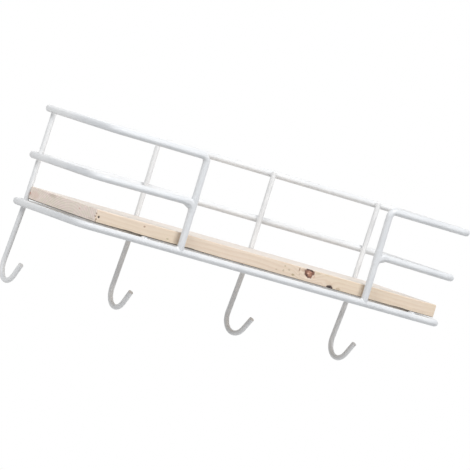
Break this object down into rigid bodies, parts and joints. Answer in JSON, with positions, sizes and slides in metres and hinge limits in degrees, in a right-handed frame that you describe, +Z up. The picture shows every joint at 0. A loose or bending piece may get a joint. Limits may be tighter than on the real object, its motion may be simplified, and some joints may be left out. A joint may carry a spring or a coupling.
{
  "type": "wire wall shelf with hooks",
  "caption": "Wall-hung welded wire shelf with guard rails open at the front, a loose wooden board, and a row of coat hooks below.",
  "frame": {"origin": "on the wall plane, midway along the shelf, at the underside of the top back run where the carrying nails bear", "axes": "+X along the wall, to the right as seen from the room; +Y into the wall, so the room is on the -Y side; +Z up"},
  "size_m": [0.514, 0.166, 0.2052],
  "materials": {
    "white_wire": "smooth white powder coat, satin",
    "pine_board": "planed bare pine, pale, with small knots"
  },
  "bodies": {
    "frame": {"upper_rail": "white_wire", "middle_rail": "white_wire", "bottom_ring": "white_wire", "left_outer_hook": "white_wire", "left_inner_hook": "white_wire", "right_inner_hook": "white_wire", "right_outer_hook": "white_wire", "left_cross_support": "white_wire", "right_cross_support": "white_wire"},
    "board": {"shelf_board": "pine_board"}
  },
  "joints": [
    {"name": "board_lift", "type": "slide", "parent": "frame", "child": "board", "axis": [0, 0, 1], "range_m": [0, 0.11]}
  ]
}
